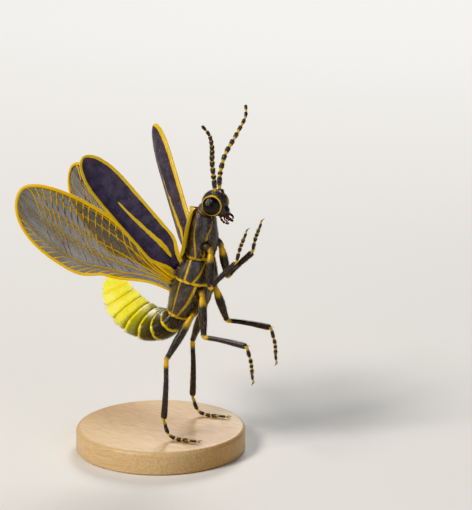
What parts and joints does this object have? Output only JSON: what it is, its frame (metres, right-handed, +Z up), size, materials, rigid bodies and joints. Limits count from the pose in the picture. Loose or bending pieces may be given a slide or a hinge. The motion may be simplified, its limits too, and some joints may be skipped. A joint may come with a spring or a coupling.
{
  "type": "firefly",
  "caption": "Firefly standing upright on its hind feet on a small round base, with raised wing cases, spread hind wings and a pale glowing tip to its upturned abdomen.",
  "frame": {"origin": "middle of the underside of the round base", "axes": "+X the way the firefly faces, +Y its left side, +Z up"},
  "size_m": [0.0163, 0.013, 0.0237],
  "materials": {
    "base_wood": "pale close-grained wood, oiled and satin",
    "dark_shell": "dark grey-brown chitin with fine pale down, satin",
    "pronotum_shell": "dull yellow chitin with a reddish middle and a dark stripe, satin",
    "eye_facets": "black compound eye, glossy with fine facets",
    "elytron_shell": "dark grey-brown wing case with pale yellow edges and a pale stripe, satin",
    "wing_membrane": "clear smoky membrane with brown veins",
    "lantern_shell": "pale yellow-green light organ, glowing",
    "leg_shell": "dark brown chitin, paler at the joints, satin"
  },
  "bodies": {
    "root": {"stand_base": "base_wood", "head": "dark_shell", "mesothorax": "dark_shell", "metathorax": "dark_shell", "abdomen_front": "dark_shell", "abdomen_rear": "dark_shell", "pronotum": "pronotum_shell", "lantern": "lantern_shell", "eye_right": "eye_facets", "eye_left": "eye_facets", "antenna_right": "leg_shell", "antenna_left": "leg_shell", "elytron_right": "elytron_shell", "elytron_left": "elytron_shell", "hind_wing_right": "wing_membrane", "hind_wing_left": "wing_membrane", "front_leg_femur_right": "leg_shell", "front_leg_femur_left": "leg_shell", "front_leg_tibia_right": "leg_shell", "front_leg_tibia_left": "leg_shell", "front_leg_tarsus_right": "leg_shell", "front_leg_tarsus_left": "leg_shell", "middle_leg_femur_right": "leg_shell", "middle_leg_femur_left": "leg_shell", "middle_leg_tibia_right": "leg_shell", "middle_leg_tibia_left": "leg_shell", "middle_leg_tarsus_right": "leg_shell", "middle_leg_tarsus_left": "leg_shell", "hind_leg_femur_right": "leg_shell", "hind_leg_femur_left": "leg_shell", "hind_leg_tibia_right": "leg_shell", "hind_leg_tibia_left": "leg_shell", "hind_leg_tarsus_right": "leg_shell", "hind_leg_tarsus_left": "leg_shell"}
  },
  "joints": []
}
